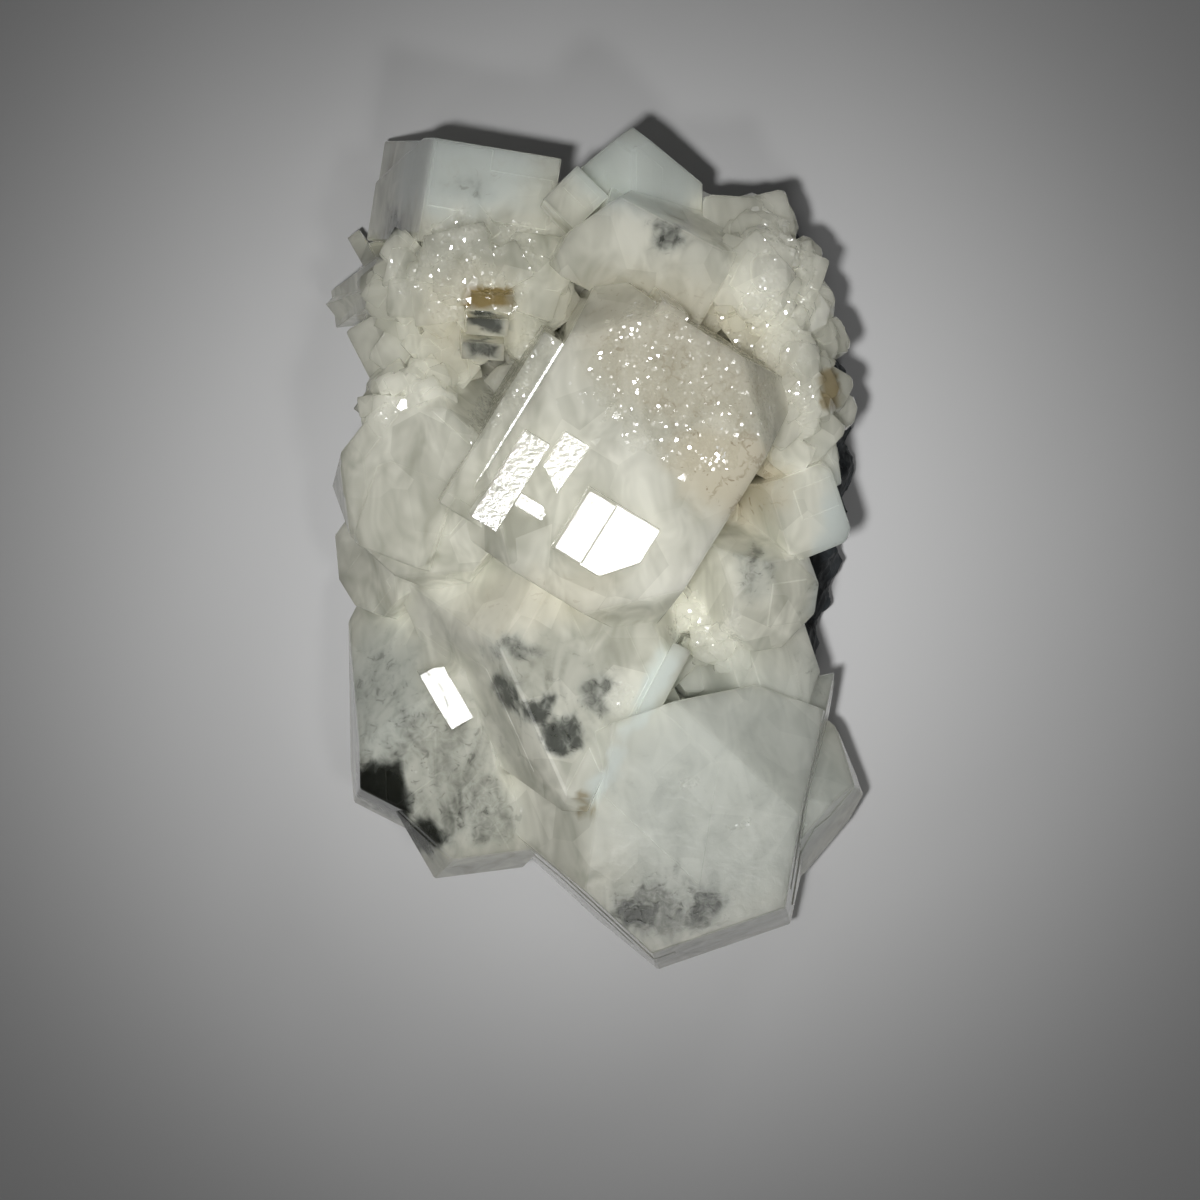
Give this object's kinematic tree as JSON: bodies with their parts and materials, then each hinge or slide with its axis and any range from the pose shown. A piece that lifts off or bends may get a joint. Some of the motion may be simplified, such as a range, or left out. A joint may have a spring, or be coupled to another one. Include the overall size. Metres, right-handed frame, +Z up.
{
  "type": "fluorapophyllite specimen",
  "caption": "Mineral specimen lying on its flat back: milky to clear intergrown tetragonal fluorapophyllite crystals on a slab of dark basalt.",
  "frame": {"origin": "under the middle of the specimen's box, on the surface that its flat back rests on", "axes": "+Z up, out of the matrix through the crystals; +Y along the specimen's length, towards the end that is up when it is displayed"},
  "size_m": [0.0534, 0.084, 0.0385],
  "materials": {
    "apophyllite": "milky to clear natural crystal faces, glassy to pearly",
    "basalt": "rough broken dark basalt"
  },
  "bodies": {
    "root": {"crystal_cluster": "apophyllite", "basalt_matrix": "basalt"}
  },
  "joints": []
}
